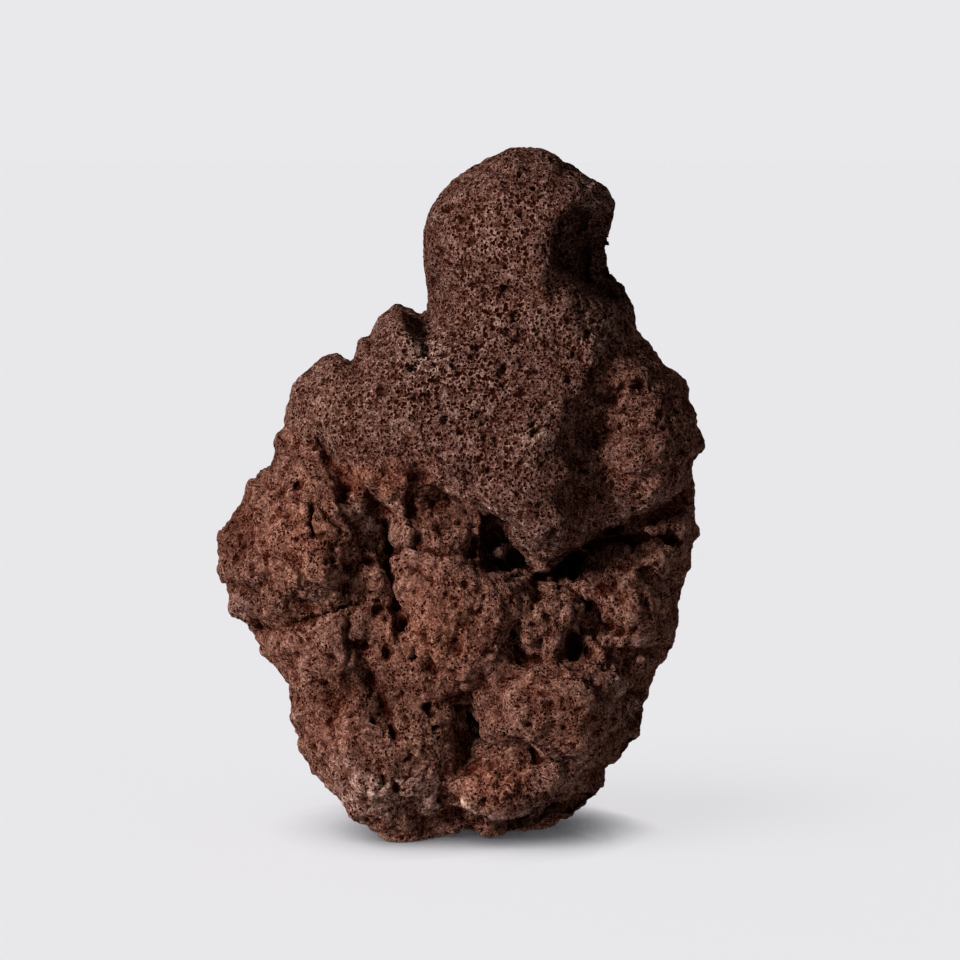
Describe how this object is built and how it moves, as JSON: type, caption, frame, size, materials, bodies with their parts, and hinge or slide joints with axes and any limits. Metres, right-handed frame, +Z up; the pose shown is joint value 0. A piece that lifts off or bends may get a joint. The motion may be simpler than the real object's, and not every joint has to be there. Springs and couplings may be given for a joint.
{
  "type": "lava rock",
  "caption": "Free-standing lump of red vesicular lava rock with a rounded head, an overhanging slab and a lumpy, creviced body.",
  "frame": {"origin": "centre of the stone's bounding box, on the ground that its foot stands on", "axes": "+Z up, -Y towards the side that the picture shows, +X to that side's right"},
  "size_m": [0.2432, 0.1502, 0.3407],
  "materials": {
    "red_scoria": "matt, rough and full of small gas holes, with paler dust in hollows and rusty patches"
  },
  "bodies": {
    "root": {"lava_rock": "red_scoria"}
  },
  "joints": []
}
